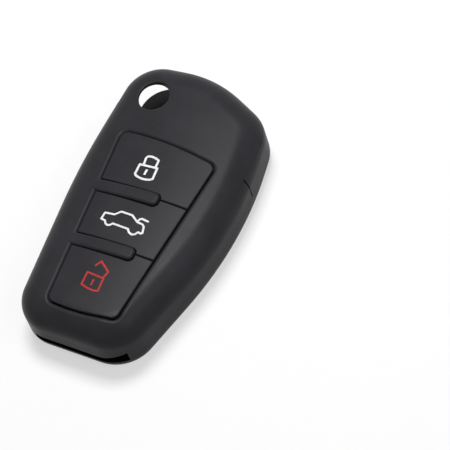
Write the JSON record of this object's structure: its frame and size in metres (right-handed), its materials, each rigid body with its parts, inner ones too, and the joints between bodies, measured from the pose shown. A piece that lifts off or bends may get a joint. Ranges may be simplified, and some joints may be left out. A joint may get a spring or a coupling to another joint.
{
  "type": "key fob cover",
  "caption": "Soft silicone sleeve for a folding car key, with sprung push buttons under coloured symbols, a key ring hole and a slit mouth.",
  "frame": {"origin": "middle of the flat back face that the cover lies on", "axes": "+X to the blade side seen from the front, +Y towards the key ring, +Z out of the front face"},
  "size_m": [0.0408, 0.0731, 0.0167],
  "materials": {
    "silicone_black": "matte, faintly powdery",
    "silicone_white": "matte",
    "silicone_red": "matte"
  },
  "bodies": {
    "sleeve": {"front_shell": "silicone_black", "back_shell": "silicone_black", "lock_web": "silicone_black", "trunk_web": "silicone_black", "unlock_web": "silicone_black"},
    "lock": {"lock_button": "silicone_black", "lock_symbol": "silicone_white"},
    "trunk": {"trunk_button": "silicone_black", "trunk_symbol": "silicone_white"},
    "unlock": {"unlock_button": "silicone_black", "unlock_symbol": "silicone_red"}
  },
  "joints": [
    {"name": "lock_press", "type": "slide", "parent": "sleeve", "child": "lock", "axis": [0, 0, -1], "range_m": [0, 0.00045], "stiffness_N_per_m": 4000, "deforming": ["lock_web"]},
    {"name": "trunk_press", "type": "slide", "parent": "sleeve", "child": "trunk", "axis": [0, 0, -1], "range_m": [0, 0.00045], "stiffness_N_per_m": 4000, "deforming": ["trunk_web"]},
    {"name": "unlock_press", "type": "slide", "parent": "sleeve", "child": "unlock", "axis": [0, 0, -1], "range_m": [0, 0.00045], "stiffness_N_per_m": 4000, "deforming": ["unlock_web"]}
  ]
}
